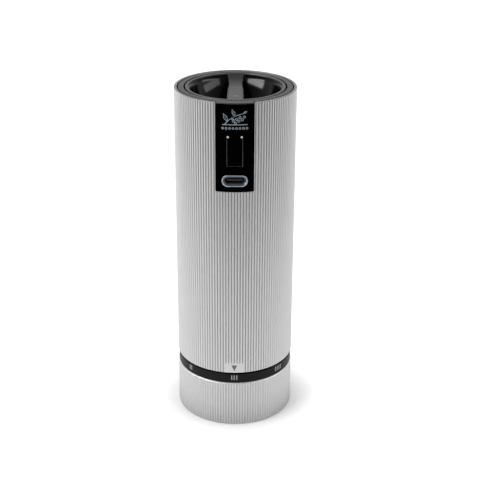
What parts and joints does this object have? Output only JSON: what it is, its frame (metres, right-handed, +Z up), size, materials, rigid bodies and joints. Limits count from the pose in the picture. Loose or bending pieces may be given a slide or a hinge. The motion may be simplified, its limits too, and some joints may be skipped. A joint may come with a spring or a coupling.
{
  "type": "pepper mill",
  "caption": "Round rechargeable pepper mill: fluted metal tube, turning grind-setting base, cone grinder, and a motor block with twist handle that lifts out of the top.",
  "frame": {"origin": "centre of the flat underside of the base", "axes": "+Z up along the tube's axis; the front panel, with its button and charging socket, faces -Y"},
  "size_m": [0.05, 0.05, 0.145],
  "materials": {
    "fluted_aluminium": "anodised silver, fine vertical flutes",
    "dark_band": "fine satin moulding",
    "print_grey": "pale grey ink filled mark",
    "mark_grey": "dark grey ink filled mark",
    "liner_plastic": "moulded",
    "reservoir_plastic": "smoky clear moulding",
    "core_plastic": "moulded",
    "foot_rubber": "fine grained",
    "ceramic": "fired ceramic, matt",
    "steel": "drawn bar",
    "spring_steel": "bright wire",
    "piano_black": "polished moulding",
    "satin_grey": "satin metallic lacquer",
    "shell_plastic": "moulded, lightly textured",
    "seal_rubber": "smooth moulded",
    "lens": "frosted light pipe",
    "port_metal": "cool bright plating",
    "port_black": "moulded insulator with gold contacts",
    "board": "soldermask",
    "switch": "moulded",
    "cell_sleeve": "shrink sleeve on a drawn can",
    "nickel": "nickel strip",
    "deck_plastic": "glass filled moulding",
    "bolt_acetal": "self-lubricating moulding",
    "screw_steel": "zinc plated",
    "motor_steel": "nickel plated drawn can",
    "magnet": "sintered ferrite",
    "windings": "enamelled copper on laminations",
    "gear_acetal": "self-lubricating moulding",
    "gear_steel": "sintered"
  },
  "bodies": {
    "mill_body": {"outer_tube": "fluted_aluminium", "index_mark": "mark_grey", "inner_body": "liner_plastic", "retaining_clip": "spring_steel", "bearing_bridge": "reservoir_plastic", "hopper_funnel": "reservoir_plastic"},
    "base_ring": {"base_collar": "fluted_aluminium", "base_core": "core_plastic", "foot_ring": "foot_rubber", "setting_band": "dark_band", "setting_marks": "print_grey"},
    "stator": {"stator_carrier": "core_plastic", "grinder_stator": "ceramic", "stator_spring": "spring_steel"},
    "rotor": {"drive_shaft": "steel", "grinder_rotor": "ceramic", "rotor_nut": "screw_steel", "shaft_circlip": "spring_steel"},
    "motor_block": {"block_shell": "shell_plastic", "block_seal": "seal_rubber", "shaft_seal": "seal_rubber", "top_ring": "satin_grey", "front_panel": "piano_black", "indicator_lenses": "lens", "usb_trim_ring": "port_metal", "usb_shell": "port_metal", "usb_tongue": "port_black", "switch_body": "switch", "control_board": "board", "battery_cell": "cell_sleeve", "battery_contacts": "nickel", "battery_cradle": "deck_plastic", "latch_deck": "deck_plastic", "deck_screws": "screw_steel", "motor_can": "motor_steel", "motor_end_cap": "port_black", "motor_magnets": "magnet", "gearbox_housing": "gear_acetal", "gearbox_cover": "motor_steel"},
    "handle": {"grip_bowl": "piano_black", "grip_trim": "satin_grey", "cam_disc": "bolt_acetal", "handle_screw": "screw_steel"},
    "left_bolt": {"lock_bolt_left": "bolt_acetal"},
    "right_bolt": {"lock_bolt_right": "bolt_acetal"},
    "button": {"button_tongue": "piano_black"},
    "motor_rotor": {"armature": "windings", "motor_shaft": "gear_steel"},
    "carrier_one": {"first_carrier": "gear_steel"},
    "carrier_two": {"output_carrier": "gear_steel"},
    "planet_one_1": {"first_planet_1": "gear_acetal"},
    "planet_one_2": {"first_planet_2": "gear_acetal"},
    "planet_one_3": {"first_planet_3": "gear_acetal"},
    "planet_two_1": {"second_planet_1": "gear_steel"},
    "planet_two_2": {"second_planet_2": "gear_steel"},
    "planet_two_3": {"second_planet_3": "gear_steel"}
  },
  "joints": [
    {"name": "base_turn", "type": "hinge", "parent": "mill_body", "child": "base_ring", "pos_m": [0, 0, 0], "axis": [0, 0, 1], "range_deg": [-150, 100]},
    {"name": "stator_slide", "type": "slide", "parent": "mill_body", "child": "stator", "axis": [0, 0, 1], "range_m": [-0.0007, 0.0007], "deforming": ["stator_spring"]},
    {"name": "rotor_spin", "type": "hinge", "parent": "mill_body", "child": "rotor", "pos_m": [0, 0, 0.02], "axis": [0, 0, 1], "continuous": true},
    {"name": "block_lift", "type": "slide", "parent": "mill_body", "child": "motor_block", "axis": [0, 0, 1], "range_m": [0, 0.09]},
    {"name": "handle_turn", "type": "hinge", "parent": "motor_block", "child": "handle", "pos_m": [0, 0, 0.138], "axis": [0, 0, 1], "range_deg": [-60, 0]},
    {"name": "right_bolt_slide", "type": "slide", "parent": "motor_block", "child": "right_bolt", "axis": [1, 0, 0], "range_m": [-0.0001, 0.0015]},
    {"name": "left_bolt_slide", "type": "slide", "parent": "motor_block", "child": "left_bolt", "axis": [-1, 0, 0], "range_m": [-0.0001, 0.0015]},
    {"name": "button_press", "type": "hinge", "parent": "motor_block", "child": "button", "pos_m": [0, -0.0242, 0.1298], "axis": [1, 0, 0], "range_deg": [0, 3], "stiffness_Nm_per_rad": 0.05},
    {"name": "motor_spin", "type": "hinge", "parent": "motor_block", "child": "motor_rotor", "pos_m": [0, 0, 0.09], "axis": [0, 0, 1], "continuous": true},
    {"name": "carrier_one_spin", "type": "hinge", "parent": "motor_block", "child": "carrier_one", "pos_m": [0, 0, 0.07], "axis": [0, 0, 1], "continuous": true},
    {"name": "carrier_two_spin", "type": "hinge", "parent": "motor_block", "child": "carrier_two", "pos_m": [0, 0, 0.066], "axis": [0, 0, 1], "continuous": true},
    {"name": "planet_one_1_spin", "type": "hinge", "parent": "carrier_one", "child": "planet_one_1", "pos_m": [0.00675, 0, 0.0755], "axis": [0, 0, 1], "continuous": true},
    {"name": "planet_one_2_spin", "type": "hinge", "parent": "carrier_one", "child": "planet_one_2", "pos_m": [-0.00337, 0.00585, 0.0755], "axis": [0, 0, 1], "continuous": true},
    {"name": "planet_one_3_spin", "type": "hinge", "parent": "carrier_one", "child": "planet_one_3", "pos_m": [-0.00337, -0.00585, 0.0755], "axis": [0, 0, 1], "continuous": true},
    {"name": "planet_two_1_spin", "type": "hinge", "parent": "carrier_two", "child": "planet_two_1", "pos_m": [0.00675, 0, 0.0695], "axis": [0, 0, 1], "continuous": true},
    {"name": "planet_two_2_spin", "type": "hinge", "parent": "carrier_two", "child": "planet_two_2", "pos_m": [-0.00337, 0.00585, 0.0695], "axis": [0, 0, 1], "continuous": true},
    {"name": "planet_two_3_spin", "type": "hinge", "parent": "carrier_two", "child": "planet_two_3", "pos_m": [-0.00337, -0.00585, 0.0695], "axis": [0, 0, 1], "continuous": true}
  ],
  "couplings": [
    {"joint": "stator_slide", "follows": "base_turn", "m_per_rad": -0.00023873},
    {"joint": "rotor_spin", "follows": "motor_spin", "ratio": 0.027778},
    {"joint": "right_bolt_slide", "follows": "handle_turn", "m_per_rad": -0.0013369},
    {"joint": "left_bolt_slide", "follows": "handle_turn", "m_per_rad": -0.0013369},
    {"joint": "carrier_one_spin", "follows": "motor_spin", "ratio": 0.16667},
    {"joint": "carrier_two_spin", "follows": "motor_spin", "ratio": 0.027778},
    {"joint": "planet_one_1_spin", "follows": "motor_spin", "ratio": -0.41667},
    {"joint": "planet_one_2_spin", "follows": "motor_spin", "ratio": -0.41667},
    {"joint": "planet_one_3_spin", "follows": "motor_spin", "ratio": -0.41667},
    {"joint": "planet_two_1_spin", "follows": "motor_spin", "ratio": -0.069444},
    {"joint": "planet_two_2_spin", "follows": "motor_spin", "ratio": -0.069444},
    {"joint": "planet_two_3_spin", "follows": "motor_spin", "ratio": -0.069444}
  ]
}
